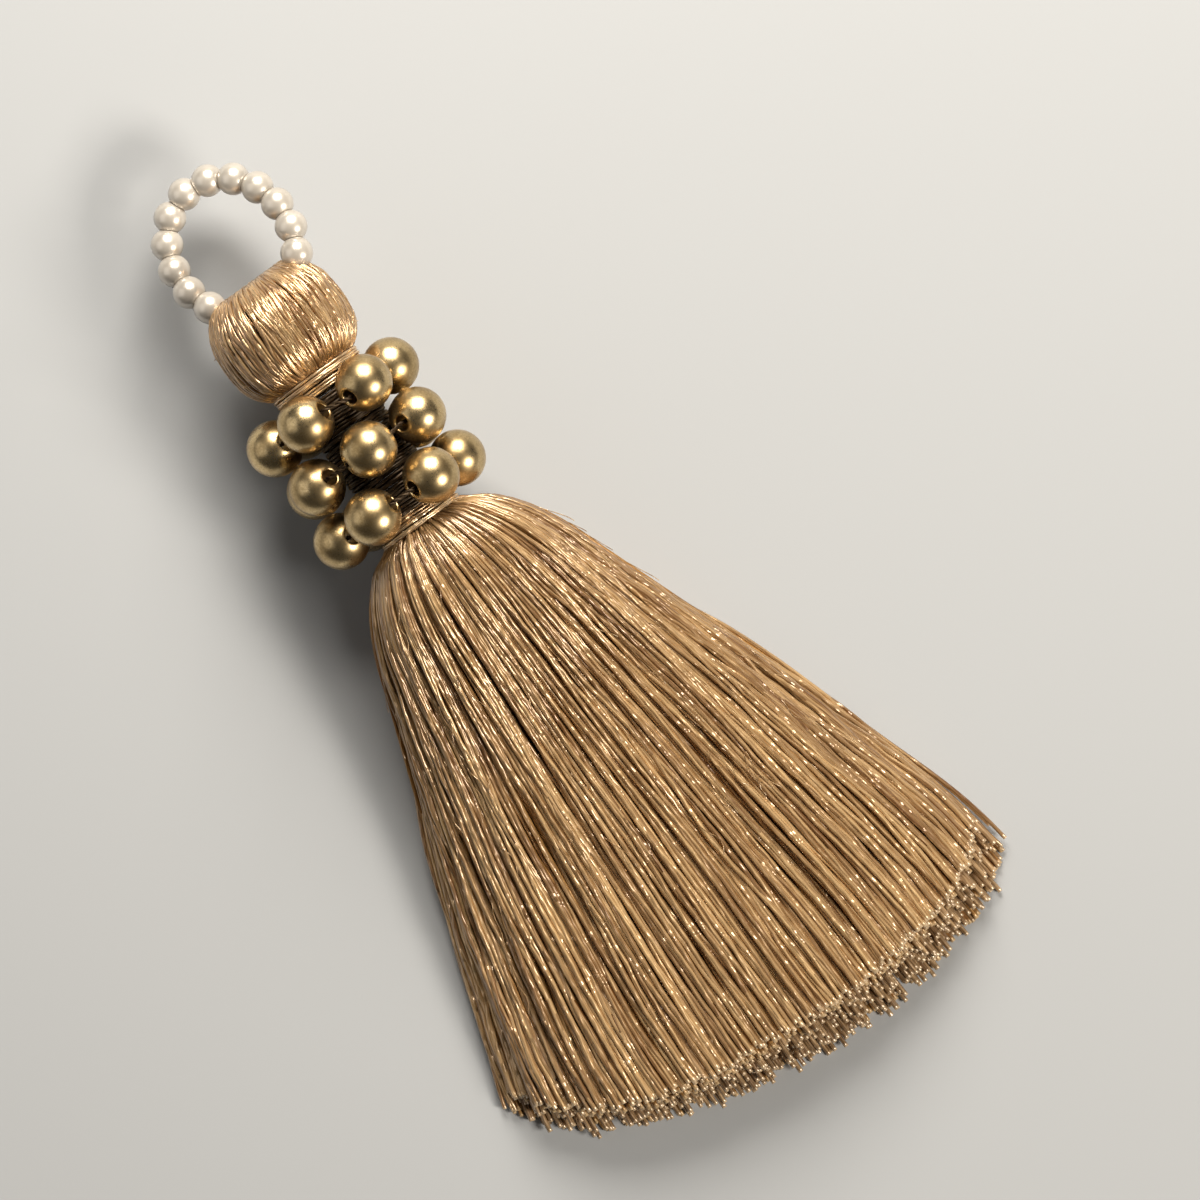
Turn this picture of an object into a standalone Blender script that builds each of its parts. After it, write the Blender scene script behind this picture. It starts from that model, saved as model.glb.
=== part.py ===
"""A silk tassel with a pearl hanging loop and a collar of brass beads, lying on a flat surface.

One hank of silk is folded over the pearl loop, bound at the neck and cut off square below, so the
head, the neck and the skirt's locks are one solid. Two bindings of wound thread, three strung rows
of brass beads and the strung pearls are pieces of their own.

Metres, +Z up. The tassel lies along Y with its loop at +Y. The origin is on the surface, under the
middle of the tassel. Places along the tassel are measured from the neck's root, where the skirt
starts: positive towards the loop, and "below" counts down the skirt.
"""

import bisect
import math
import random

import bmesh
import bpy
from mathutils import Matrix, Vector

MM = 0.001
GAP = 0.3 * MM  # left between pieces that touch on the real tassel

# Where the tassel lies
AXIS_X = -0.35 * MM  # the neck's axis, beside the middle of the whole tassel
ROOT_Y = 11.1 * MM  # the neck's root, where the skirt starts
AXIS_HEIGHT = 8.73 * MM  # the head's and the neck's axis above the surface

# Head: a barrel whose outline is a superellipse
HEAD_RADIUS = 6.17 * MM
HEAD_MIDDLE = 20.2 * MM
HEAD_HALF_LENGTH = 5.2 * MM
HEAD_POWER = 2.7
HEAD_TOP_SHARE = 0.985  # the outline runs from here down to the neck, as shares of the half length
HEAD_BOTTOM_SHARE = -0.75
HEAD_RINGS = 10
ROUND_SIDES = 28

# Neck: the bound silk, from the head's underside down to the skirt
NECK_RADIUS = 3.00 * MM
NECK_TOP = 16.25 * MM
NECK_END = -0.60 * MM

# Bindings of wound thread
UPPER_BINDING = (
    # along the axis, outer radius
    (15.95 * MM, 4.25 * MM),
    (15.60 * MM, 4.42 * MM),
    (14.98 * MM, 4.38 * MM),
    (14.50 * MM, 3.85 * MM),
    (14.05 * MM, 3.60 * MM),
)
LOWER_BINDING = (
    # along the axis, outer radius
    (1.00 * MM, 3.52 * MM),
    (0.50 * MM, 3.80 * MM),
    (0.10 * MM, 4.04 * MM),
    (-0.30 * MM, 4.09 * MM),
)

# Brass collar: rows of beads, each row strung round the neck and turned half a step from the next
BEAD_DIAMETER = 5.00 * MM
BEAD_BORE = 1.30 * MM
BEADS_IN_ROW = 6
BEAD_ROWS = (12.43 * MM, 7.48 * MM, 2.52 * MM)
COLLAR_RADIUS = 6.20 * MM  # the neck's axis to a bead's middle
COLLAR_SHIFT = -0.35 * MM  # the loose collar hangs a little to one side
COLLAR_TURN = math.radians(4)
BEAD_ARCS = 6
BEAD_SIDES = 14

# Pearl loop: a stiff ellipse that stands out from the head's top, droops a little and leans over.
# The pearls are shorter along their thread than across it, and touch on the real tassel.
PEARL_DIAMETER = 2.84 * MM
PEARL_BORE = 1.10 * MM
PEARLS = 12
LOOP_MIDDLE = (0.70 * MM, 28.96 * MM, 7.90 * MM)  # across, along, height
LOOP_HALF_WIDTH = 5.43 * MM
LOOP_HALF_REACH = 6.26 * MM  # seen from above
LOOP_DROOP = math.radians(18)
LOOP_ROLL = math.radians(12)  # the +X side stands higher
LOOP_FIRST, LOOP_LAST = math.radians(-121), math.radians(128)  # from the loop's far end
LOOP_FINE = 400  # steps that measure the loop's length
PEARL_ARCS = 6
PEARL_SIDES = 12

# The threads that the beads and pearls are strung on
THREAD_DIAMETER = 0.30 * MM
THREAD_TUCK = 1.5 * MM  # how far the loop's thread runs into the head
THREAD_HOLE = THREAD_DIAMETER + 2 * GAP

# Skirt. A section is an ellipse about its side edges, flattened where it meets the surface.
SKIRT_SECTIONS = (
    # below the root, half width, height of the side edges, height of the crest
    (0.60 * MM, 4.30 * MM, 8.73 * MM, 13.00 * MM),
    (1.10 * MM, 5.50 * MM, 8.73 * MM, 13.80 * MM),
    (2.80 * MM, 7.50 * MM, 8.50 * MM, 14.40 * MM),
    (4.50 * MM, 8.80 * MM, 8.00 * MM, 14.30 * MM),
    (7.10 * MM, 10.20 * MM, 6.90 * MM, 13.70 * MM),
    (11.5 * MM, 11.85 * MM, 5.10 * MM, 12.50 * MM),
    (20.2 * MM, 15.05 * MM, 2.90 * MM, 10.80 * MM),
    (28.9 * MM, 18.35 * MM, 1.70 * MM, 9.50 * MM),
    (37.6 * MM, 21.10 * MM, 1.10 * MM, 8.60 * MM),
    (46.3 * MM, 23.65 * MM, 0.80 * MM, 7.90 * MM),
    (60.0 * MM, 25.40 * MM, 0.60 * MM, 7.20 * MM),
)
BACKING_SECTIONS = (0.60 * MM, 1.10 * MM, 1.90 * MM, 3.40 * MM, 5.20 * MM)  # the fused roots

# Locks: columns across the skirt, each with layers up from the surface
LOCK_COLUMNS = 35
LOCK_LAYERS = 6  # in the middle column, and fewer to the sides
LOCK_FILL = 0.84  # a lock's share of its column and layer, the rest is the gap beside it
LOCK_DRIFT = 0.6  # how much of that gap a lock wanders through
CREST_SCATTER = 0.15  # how much lower some locks of the top layer lie, as a share of the layer
LOCK_ROOT = BACKING_SECTIONS[-1] - 0.8 * MM
LOCK_STATIONS = (8.0 * MM, 16.0 * MM, 32.0 * MM)
LOCK_REACH = 58.4 * MM  # from the root to a lock's cut end, in the middle of the lowest layer
REACH_LEAN = 2.8 * MM  # the cut runs longer on the +X side
REACH_ROUNDING = 2.2 * MM  # and is shorter at both edges
TOP_LAYER_SHORT = 3.3 * MM  # the upper layers bridge the crest, so they end sooner
END_SCATTER = 0.5 * MM
SEED = 7


def at(across, along, height):
    """A place on the tassel: across and along its axis from the neck's root, height above the surface."""
    return Vector((AXIS_X + across, ROOT_Y + along, height))


def smooth_row(table, key):
    """The table's other columns at key, on a smooth curve through its rows."""
    keys = [row[0] for row in table]
    i = min(max(bisect.bisect_right(keys, key) - 1, 0), len(table) - 2)
    step = keys[i + 1] - keys[i]
    t = min(max((key - keys[i]) / step, 0.0), 1.0)
    values = []
    for column in range(1, len(table[0])):
        slopes = []
        for k in (i, i + 1):
            low, high = table[max(k - 1, 0)], table[min(k + 1, len(table) - 1)]
            slopes.append((high[column] - low[column]) / (high[0] - low[0]) * step)
        start, end = table[i][column], table[i + 1][column]
        values.append(
            start * (1 + 2 * t) * (1 - t) ** 2
            + slopes[0] * t * (1 - t) ** 2
            + end * t * t * (3 - 2 * t)
            + slopes[1] * t * t * (t - 1)
        )
    return values


def material(name, colour, roughness, metallic=0.0):
    made = bpy.data.materials.new(name)
    made.use_nodes = True
    shader = made.node_tree.nodes["Principled BSDF"]
    shader.inputs["Base Color"].default_value = (*colour, 1.0)
    shader.inputs["Roughness"].default_value = roughness
    shader.inputs["Metallic"].default_value = metallic
    return made


def add(name, mesh, finish, parent=None, matrix=None):
    """Puts a mesh in the scene as a named piece."""
    if not mesh.materials:
        mesh.materials.append(finish)
    piece = bpy.data.objects.new(name, mesh)
    bpy.context.scene.collection.objects.link(piece)
    if parent is not None:
        piece.parent = parent
    if matrix is not None:
        piece.matrix_local = matrix
    return piece


def mesh_from(bm, name):
    """Closes the bmesh into a mesh with its faces outwards and its round sides smooth."""
    bmesh.ops.recalc_face_normals(bm, faces=bm.faces)
    mesh = bpy.data.meshes.new(name)
    bm.to_mesh(mesh)
    bm.free()
    mesh.shade_smooth()
    mesh.set_sharp_from_angle(angle=math.radians(40))
    return mesh


def loft(bm, rings):
    """Joins rings of points, all of one length, into a closed tube with flat ends."""
    loops = [[bm.verts.new(point) for point in ring] for ring in rings]
    sides = len(loops[0])
    for lower, upper in zip(loops, loops[1:]):
        for i in range(sides):
            j = (i + 1) % sides
            bm.faces.new((lower[i], lower[j], upper[j], upper[i]))
    bm.faces.new(loops[0])
    bm.faces.new(loops[-1])


def turned(name, outline, sides):
    """A ring turned about its own Z axis from a closed outline of (radius, height) points."""
    bm = bmesh.new()
    points = [bm.verts.new((radius, 0, height)) for radius, height in outline]
    edges = [bm.edges.new((a, b)) for a, b in zip(points, points[1:] + points[:1])]
    bmesh.ops.spin(
        bm,
        geom=points + edges,
        cent=(0, 0, 0),
        axis=(0, 0, 1),
        angle=2 * math.pi,
        steps=sides,
        use_merge=True,
    )
    bmesh.ops.remove_doubles(bm, verts=bm.verts, dist=0.001 * MM)
    return mesh_from(bm, name)


def bead_outline(diameter, bore, length, arcs):
    """The outline of a drilled bead: half an ellipse, from one mouth of the bore to the other."""
    mouth = math.asin(bore / diameter)
    turns = [mouth + (math.pi - 2 * mouth) * i / arcs for i in range(arcs + 1)]
    return [(diameter / 2 * math.sin(t), length / 2 * math.cos(t)) for t in turns]


def frame_along(direction):
    """A rotation that turns a piece's own Z axis along the direction."""
    return direction.to_track_quat("Z", "Y").to_matrix().to_4x4()


# The silk hank


def circle_ring(along, radius):
    """A ring of the head or the neck."""
    angles = [2 * math.pi * i / ROUND_SIDES for i in range(ROUND_SIDES)]
    return [at(radius * math.sin(t), along, AXIS_HEIGHT + radius * math.cos(t)) for t in angles]


def head_radius(share):
    """The head's radius at a share of its half length from its middle."""
    return HEAD_RADIUS * (1 - abs(share) ** HEAD_POWER) ** (1 / HEAD_POWER)


def skirt_height(across_share, up_share, below):
    """The height of a point of the skirt: shares from the middle to a side, and from underside to crest."""
    _, edge, crest = smooth_row(SKIRT_SECTIONS, below)
    rise = (crest - edge) * math.sqrt(max(0.0, 1 - across_share**2))
    underside = max(0.0, edge - rise)
    return underside + up_share * (edge + rise - underside)


def backing_ring(below):
    """A ring of the fused roots, from the neck out to where the locks part."""
    half_width, edge, crest = smooth_row(SKIRT_SECTIONS, below)
    ring = []
    for i in range(ROUND_SIDES):
        t = 2 * math.pi * i / ROUND_SIDES
        ring.append(at(half_width * math.sin(t), -below, edge + (crest - edge) * math.cos(t)))
    return ring


def add_lock(bm, column, low, high, end, chance):
    """One lock: a four-sided strand from its root in the backing to its cut end.

    The column is counted from the -X side. Low and high are shares up from the skirt's underside.
    """
    column_width = 2 / LOCK_COLUMNS
    middle = -1 + column_width * (column + 0.5)
    half = LOCK_FILL * column_width / 2
    play = column_width / 2 - half
    rings = []
    for below in (LOCK_ROOT, *LOCK_STATIONS, end):
        half_width = smooth_row(SKIRT_SECTIONS, below)[0]
        drift = middle + chance.uniform(-LOCK_DRIFT, LOCK_DRIFT) * play
        bottom = skirt_height(middle, low, below)
        top = skirt_height(middle, high, below)
        left, right = half_width * (drift - half), half_width * (drift + half)
        corners = ((left, bottom), (right, bottom), (right, top), (left, top))
        rings.append([at(across, -below, height) for across, height in corners])
    loft(bm, rings)


def lock_end(across_share, up_share, chance):
    """How far below the root a lock is cut."""
    reach = LOCK_REACH + REACH_LEAN * across_share - REACH_ROUNDING * across_share**6
    half_width = smooth_row(SKIRT_SECTIONS, reach)[0]
    below = math.sqrt(reach**2 - (half_width * across_share) ** 2)
    return below - TOP_LAYER_SHORT * up_share**1.4 - END_SCATTER * chance


def lock_meshes():
    """All the locks, standing apart from each other, as one mesh."""
    chance = random.Random(SEED)
    bm = bmesh.new()
    for column in range(LOCK_COLUMNS):
        middle = -1 + (2 * column + 1) / LOCK_COLUMNS
        layers = max(1, round(LOCK_LAYERS * math.sqrt(1 - middle**2)))
        for layer in range(layers):
            low = layer / layers
            high = (layer + LOCK_FILL) / layers
            if layer == layers - 1:
                high = 1 - CREST_SCATTER * chance.random() / layers
            end = lock_end(middle, low, chance.random())
            add_lock(bm, column, low, high, end, chance)
    return mesh_from(bm, "locks")


def join_or_cut(piece, other, operation):
    """Joins another solid to the piece, or cuts it out. The other one is only a helper."""
    other.hide_render = True
    other.display_type = "WIRE"
    other.hide_set(True)
    step = piece.modifiers.new(f"{operation.lower()} {other.name}", "BOOLEAN")
    step.operation = operation
    step.solver = "EXACT"
    step.object = other


def build_hank(silk, pearl_places, thread_ends):
    """Head, neck, fused roots and locks in one solid, with seats for the pearls that touch the head."""
    bm = bmesh.new()
    rings = []
    for i in range(HEAD_RINGS + 1):
        turn = i / HEAD_RINGS
        start, end = math.asin(HEAD_TOP_SHARE), math.asin(HEAD_BOTTOM_SHARE)
        share = math.sin(start + (end - start) * turn)
        rings.append(circle_ring(HEAD_MIDDLE + HEAD_HALF_LENGTH * share, head_radius(share)))
    rings += [circle_ring(along, NECK_RADIUS) for along in (NECK_TOP, NECK_END)]
    rings += [backing_ring(below) for below in BACKING_SECTIONS]
    loft(bm, rings)
    hank = add("silk_hank", mesh_from(bm, "silk_hank"), silk)
    join_or_cut(hank, add("locks", lock_meshes(), silk), "UNION")

    for number, place in enumerate((pearl_places[0], pearl_places[-1]), 1):
        bm = bmesh.new()
        bmesh.ops.create_uvsphere(bm, u_segments=14, v_segments=8, radius=PEARL_DIAMETER / 2 + GAP)
        seat = add(f"pearl_seat_{number}", mesh_from(bm, "pearl_seat"), silk)
        seat.location = place
        join_or_cut(hank, seat, "DIFFERENCE")
    for number, (start, direction) in enumerate(thread_ends, 1):
        bm = bmesh.new()
        length = PEARL_DIAMETER + THREAD_TUCK
        bmesh.ops.create_cone(
            bm,
            cap_ends=True,
            segments=8,
            radius1=THREAD_HOLE / 2,
            radius2=THREAD_HOLE / 2,
            depth=length,
        )
        hole = add(f"thread_hole_{number}", mesh_from(bm, "thread_hole"), silk)
        reach = THREAD_TUCK + GAP - length / 2
        hole.matrix_world = Matrix.Translation(start + direction * reach) @ frame_along(direction)
        join_or_cut(hank, hole, "DIFFERENCE")


def build_binding(name, outline, silk):
    """A sleeve of thread wound round the neck."""
    bore = NECK_RADIUS + GAP
    ring = [(radius, along) for along, radius in outline]
    ring += [(bore, outline[-1][0]), (bore, outline[0][0])]
    sleeve = add(name, turned(name, ring, ROUND_SIDES), silk)
    sleeve.matrix_world = Matrix.Translation(at(0, 0, AXIS_HEIGHT)) @ Matrix.Rotation(
        math.radians(-90), 4, "X"
    )


# The brass collar


def collar_angles(row):
    """The angles of a row's beads round the neck, from straight up towards +X."""
    step = 2 * math.pi / BEADS_IN_ROW
    start = COLLAR_TURN + (0 if row % 2 else step / 2)
    return [start + step * i for i in range(BEADS_IN_ROW)]


def build_collar(brass, thread):
    """Three strung rows of drilled brass beads, each bead's bore along its row."""
    collar = bpy.data.objects.new("collar", None)
    bpy.context.scene.collection.objects.link(collar)
    collar.location = at(COLLAR_SHIFT, 0, AXIS_HEIGHT)
    outline = bead_outline(BEAD_DIAMETER, BEAD_BORE, BEAD_DIAMETER, BEAD_ARCS)
    bead = turned("brass_bead", outline, BEAD_SIDES)
    for row, along in enumerate(BEAD_ROWS):
        corners = []
        for number, angle in enumerate(collar_angles(row), 1):
            outwards = Vector((math.sin(angle), 0, math.cos(angle)))
            sideways = Vector((math.cos(angle), 0, -math.sin(angle)))
            middle = outwards * COLLAR_RADIUS + Vector((0, along, 0))
            name = f"brass_bead_{row + 1}_{number}"
            add(name, bead, brass, collar, Matrix.Translation(middle) @ frame_along(sideways))
            straight = 0.75 * COLLAR_RADIUS * math.tan(math.pi / BEADS_IN_ROW)
            corners += [middle - sideways * straight, middle + sideways * straight]
        add_thread(f"bead_thread_{row + 1}", corners, thread, cyclic=True, parent=collar)


def add_thread(name, points, finish, cyclic=False, parent=None):
    """A stringing thread: a round tube through the points."""
    curve = bpy.data.curves.new(name, "CURVE")
    curve.dimensions = "3D"
    curve.bevel_depth = THREAD_DIAMETER / 2
    curve.bevel_resolution = 1
    curve.use_fill_caps = not cyclic
    line = curve.splines.new("POLY")
    line.points.add(len(points) - 1)
    for point, place in zip(line.points, points):
        point.co = (*place, 1.0)
    line.use_cyclic_u = cyclic
    curve.materials.append(finish)
    thread = bpy.data.objects.new(name, curve)
    bpy.context.scene.collection.objects.link(thread)
    thread.parent = parent


# The pearl loop


def loop_point(angle):
    """A point of the drooping ellipse, by the angle from its far end."""
    across, along, height = LOOP_MIDDLE
    reach = LOOP_HALF_REACH * math.cos(angle)
    aside = LOOP_HALF_WIDTH * math.sin(angle)
    rise = aside * math.tan(LOOP_ROLL) - reach * math.tan(LOOP_DROOP)
    return at(across + aside, along + reach, height + rise)


def even_steps(count):
    """Points at even distances along the loop from its first to its last pearl."""
    turns = [LOOP_FIRST + (LOOP_LAST - LOOP_FIRST) * i / LOOP_FINE for i in range(LOOP_FINE + 1)]
    fine = [loop_point(turn) for turn in turns]
    travelled = [0.0]
    for a, b in zip(fine, fine[1:]):
        travelled.append(travelled[-1] + (b - a).length)
    places = []
    for step in range(count):
        target = travelled[-1] * step / (count - 1)
        i = min(max(bisect.bisect_left(travelled, target), 1), len(fine) - 1)
        share = (target - travelled[i - 1]) / (travelled[i] - travelled[i - 1])
        places.append(fine[i - 1].lerp(fine[i], share))
    return places


def build_pearl_loop(pearl_finish, thread_finish):
    """The strung pearls and their thread. Returns the pearls' places and the thread's two ends."""
    places = even_steps(PEARLS)
    pitch = (places[1] - places[0]).length
    outline = bead_outline(PEARL_DIAMETER, PEARL_BORE, pitch - GAP, PEARL_ARCS)
    pearl = turned("pearl", outline, PEARL_SIDES)
    for number, place in enumerate(places):
        before = places[max(number - 1, 0)]
        after = places[min(number + 1, PEARLS - 1)]
        direction = (after - before).normalized()
        matrix = Matrix.Translation(place) @ frame_along(direction)
        add(f"pearl_{number + 1:02d}", pearl, pearl_finish, matrix=matrix)

    fine = even_steps(2 * PEARLS - 1)
    ends = []
    for last, inner in ((fine[0], fine[1]), (fine[-1], fine[-2])):
        direction = (last - inner).normalized()
        ends.append((last + direction * PEARL_DIAMETER / 2, direction))
    tips = [start + direction * THREAD_TUCK for start, direction in ends]
    add_thread("loop_thread", [tips[0], *fine, tips[1]], thread_finish)
    return places, ends


def main():
    for old in list(bpy.data.objects):
        bpy.data.objects.remove(old)
    silk = material("silk", (0.60, 0.40, 0.20), 0.38)
    binding = material("binding_silk", (0.56, 0.36, 0.19), 0.35)
    brass = material("brass", (0.50, 0.38, 0.18), 0.24, metallic=1.0)
    pearl = material("pearl", (0.86, 0.80, 0.72), 0.22)
    thread = material("thread", (0.30, 0.22, 0.13), 0.6)

    places, ends = build_pearl_loop(pearl, thread)
    build_hank(silk, places, ends)
    build_binding("upper_binding", UPPER_BINDING, binding)
    build_binding("lower_binding", LOWER_BINDING, binding)
    build_collar(brass, thread)


main()
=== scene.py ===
"""The looks of the silk tassel: its threads, windings, beads and pearls, on a pale floor.

Metres, +Z up, in the frame of the part's solids. Places along the tassel are measured from the
neck's root, where the skirt starts: "along" counts towards the loop and "below" down the skirt.
"""

import math

import bmesh
import bpy
import numpy as np
from mathutils import Matrix, Vector


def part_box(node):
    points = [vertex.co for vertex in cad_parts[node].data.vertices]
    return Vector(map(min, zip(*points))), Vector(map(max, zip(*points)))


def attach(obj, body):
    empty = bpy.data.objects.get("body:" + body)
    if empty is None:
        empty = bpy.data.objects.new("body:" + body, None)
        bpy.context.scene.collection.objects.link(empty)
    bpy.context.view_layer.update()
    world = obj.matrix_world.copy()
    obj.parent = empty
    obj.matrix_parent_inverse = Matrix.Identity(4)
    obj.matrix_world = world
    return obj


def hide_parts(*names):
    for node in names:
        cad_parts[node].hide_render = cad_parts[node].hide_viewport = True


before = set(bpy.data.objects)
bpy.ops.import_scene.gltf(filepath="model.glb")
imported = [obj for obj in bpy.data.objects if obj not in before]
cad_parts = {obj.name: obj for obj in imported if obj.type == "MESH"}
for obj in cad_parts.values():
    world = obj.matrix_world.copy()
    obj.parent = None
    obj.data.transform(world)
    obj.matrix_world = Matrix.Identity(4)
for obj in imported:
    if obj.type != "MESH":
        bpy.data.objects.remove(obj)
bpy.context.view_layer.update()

MM = 0.001

# The neck's axis and root, from the lower binding's solid, which reaches a little below the root
BINDING_LOW, BINDING_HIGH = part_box("lower_binding")
BINDING_BELOW_ROOT = 0.3 * MM
AXIS_X = (BINDING_LOW.x + BINDING_HIGH.x) / 2
AXIS_HEIGHT = (BINDING_LOW.z + BINDING_HIGH.z) / 2
ROOT_Y = BINDING_LOW.y + BINDING_BELOW_ROOT

# Skirt sections: an ellipse about its side edges, flattened where it meets the floor
SKIRT_SECTIONS = np.array((
    # below the root, half width, height of the side edges, height of the crest
    (-0.90, 3.10, 8.73, 11.90),
    (-0.10, 3.60, 8.73, 12.40),
    (0.60, 4.40, 8.73, 12.95),
    (1.10, 5.50, 8.73, 13.40),
    (2.80, 7.50, 8.50, 14.00),
    (4.50, 8.80, 8.00, 14.45),
    (7.10, 10.20, 6.90, 14.35),
    (11.5, 11.85, 5.10, 13.20),
    (20.2, 15.05, 2.90, 10.80),
    (28.9, 18.35, 1.70, 9.50),
    (37.6, 21.10, 1.10, 8.60),
    (46.3, 23.65, 0.80, 7.90),
    (62.0, 25.60, 0.60, 7.20),
)) * MM
SKIRT_START = SKIRT_SECTIONS[0, 0]
SKIRT_END = SKIRT_SECTIONS[-1, 0]

# Where the skirt is cut: its reach from the root, and how the cut leans and rounds
REACH = 58.4 * MM
REACH_LEAN = 2.8 * MM
REACH_ROUNDING = 2.2 * MM
TOP_SHORT = 3.3 * MM  # the upper layers bridge the crest, so they end sooner
LEFT_FULLER = 1.2 * MM  # and they reach further on the left
END_SCATTER = 0.8 * MM  # how much sooner than the cut a thread may end
NEAR_CUT = 56 * MM  # a section near the cut, where shares of the arc become shares across

# Threads of the skirt, and their widths
SKIRT_LAYERS = (
    # name, threads, points, sides, depth, spread, share up at the cut, silk
    ("skirt_top", 230, 96, 6, 0.0, 1.0, 1.0, "silk"),
    # The second and third layers take the darker under silk, which is painted shade.
    ("skirt_second", 170, 60, 5, 0.62 * MM, 0.985, 0.93, "shaded_under_silk"),
    ("skirt_third", 130, 40, 5, 1.25 * MM, 0.97, 0.84, "shaded_under_silk"),
)
UNDER_THREADS = 150
STRAY_THREADS = 10
SKIRT_FUZZ = 70
THREAD_AT_ROOT = 0.30 * MM
THREAD_AT_END = 0.47 * MM
FULL_WIDTH_BELOW = 45 * MM
SEED = 11

# How far a thread strays from a straight line, in mm, and its shortest and longest waves
DRIFT = 0.24  # aside, in long waves
UNDER_DRIFT = 0.25  # the same for the threads underneath
DRIFT_WAVES = (16 * MM, 50 * MM)
KINK = 0.03  # aside, in short waves
KINK_WAVES = (3 * MM, 8 * MM)
LIFT = 0.045  # up and down
LIFT_WAVES = (2.5 * MM, 6 * MM)
SUNK = 0.42  # how deep a thread lies that finds no room beside the others

# Soft locks, in which neighbouring threads rise and sink together
LOCK_DEPTH = 0.03 * MM
LOCKS_ACROSS = 20  # the waves across are counted in this many parts of half the arc
LOCK_WAVES = (
    # radians a part across, radians a mm down, start
    (1.30, 0.42, 0.0),
    (2.10, -0.61, 1.0),
    (0.70, 0.87, 2.0),
)

# Dark lines between bundles
GROOVES = (
    # spacing as a share of half the arc, depth, width
    (0.075, 0.70 * MM, 0.34 * MM),
    (0.032, 0.36 * MM, 0.22 * MM),
)
GROOVE_EDGE = 0.97  # how near the side edges they come, as a share
GROOVE_PUSH = 0.30  # how far they move the threads beside them, as a share of the distance

# Cut ends, which fill the skirt's thickness
END_SPACING = 0.55 * MM
END_ROW_SHARE = 0.87  # rows of ends lie closer than the ends in a row
END_LENGTH = 9 * MM
END_STATIONS = (1.0, 0.62, 0.30, 0.12, 0.035, 0.0)  # back from the cut, as shares of the length
LOWEST_END = 0.15 * MM

# Head: a barrel of threads that pass over its top from front to back
HEAD_RADIUS = 6.17 * MM
HEAD_MIDDLE = 20.2 * MM
HEAD_HALF_LENGTH = 5.2 * MM
HEAD_POWER = 2.7
HEAD_BOTTOM = 0.83  # where the barrel meets its foot, as a share of the half length
HEAD_FOLD = 3.0 * MM  # half the width of the fold over the top
HEAD_FOOT = ((14.6, 3.3), (15.2, 3.6), (15.7, 4.05))  # along and radius, under the binding, in mm
HEAD_THREAD_RADIUS = 0.155 * MM
HEAD_LAYERS = (
    # name, threads, points, sides, depth, slant
    ("head_top", 124, 90, 6, 0.0, 0.10),
    ("head_second", 124, 60, 5, 0.24 * MM, 0.13),
    ("head_inner", 62, 44, 5, 0.72 * MM, 0.05),
)
HEAD_DEPTH = 0.12 * MM  # of the threads' middles in the barrel
HEAD_DRIFT = 0.030  # aside, in radians round the head
HEAD_DRIFT_WAVES = (6 * MM, 16 * MM)
HEAD_LIFT = 0.06  # up and down, in mm
HEAD_LIFT_WAVES = (1.8 * MM, 4.5 * MM)
HEAD_FUZZ = 36

# Windings round the neck: places along and radii of their outside, in mm
UPPER_WINDINGS = ((16.05, 4.15), (15.60, 4.42), (14.98, 4.38), (14.50, 3.85), (14.05, 3.60))
NECK_WINDINGS = ((13.80, 3.55), (12.00, 3.45), (7.00, 3.40), (2.00, 3.45), (1.20, 3.50))
LOWER_WINDINGS = ((1.00, 3.52), (0.50, 3.80), (0.10, 4.04), (-0.30, 4.09))
# Their turns: spacing, steps round the neck, sides, looseness
BINDING_TURNS = (0.22 * MM, 72, 8, 0.045 * MM)
NECK_TURNS = (0.29 * MM, 48, 6, 0.10 * MM)
TURN_RADIUS = 0.60  # of the thread, as a share of the spacing, so that turns overlap a little
WINDINGS = (
    # name, places and radii, turns, silk, slot, replaced node
    # The binding's turns take the lighter winding silk, which is painted light; the neck's turns between
    # the beads take the shaded silk.
    ("upper_turns", UPPER_WINDINGS, BINDING_TURNS, "lit_winding_silk", "binding_silk", "upper_binding"),
    ("neck_turns", NECK_WINDINGS, NECK_TURNS, "shaded_silk", "silk", "silk_hank"),
    ("lower_turns", LOWER_WINDINGS, BINDING_TURNS, "lit_winding_silk", "binding_silk", "lower_binding"),
)

# Brass beads: bored balls with a rounded lip
BEAD_ROWS = 3
BEADS_A_ROW = 6
BEAD_BORE_RADIUS = 0.72 * MM
BEAD_LIP = 0.16 * MM
SIDE_LEAN_LEFT = 0.50  # the beads at the sides lean, with one mouth towards the crest
SIDE_LEAN_RIGHT = 0.75

# How finely beads and pearls are made: round the bore, from mouth to mouth, and over a lip
BALL_SEGMENTS = 44
BALL_STEPS = 31
LIP_STEPS = 5

# The thread through a row of beads: its two plies
PLY_RADIUS = 0.115 * MM
PLY_OFFSET = 0.10 * MM  # from the thread's middle to a ply's
PLY_TURNS = 30
PLY_POINTS = 320

PEARLS = 12
PEARL_RADIUS = 1.44 * MM
PEARL_BORE_RADIUS = 0.26 * MM
PEARL_LIP = 0.10 * MM
PEARL_CLEARANCE = 0.01 * MM  # from a pearl's flat to the middle between two pearls


def smooth(table, keys):
    """The table's other columns at the keys, on smooth curves through its rows."""
    places = table[:, 0]
    slopes = np.gradient(table[:, 1:], places, axis=0)
    i = np.clip(np.searchsorted(places, keys, side="right") - 1, 0, len(places) - 2)
    step = places[i + 1] - places[i]
    t = np.clip((keys - places[i]) / step, 0, 1)[..., None]
    step = step[..., None]
    start, end = table[i, 1:], table[i + 1, 1:]
    values = start * (1 + 2 * t) * (1 - t) ** 2 + end * t * t * (3 - 2 * t)
    values = values + step * (slopes[i] * t * (1 - t) ** 2 + slopes[i + 1] * t * t * (t - 1))
    return np.moveaxis(values, -1, 0)


def smoothstep(low, high, value):
    """0 below low, 1 above high, and a soft step between them."""
    t = np.clip((value - low) / (high - low), 0, 1)
    return t * t * (3 - 2 * t)


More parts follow.
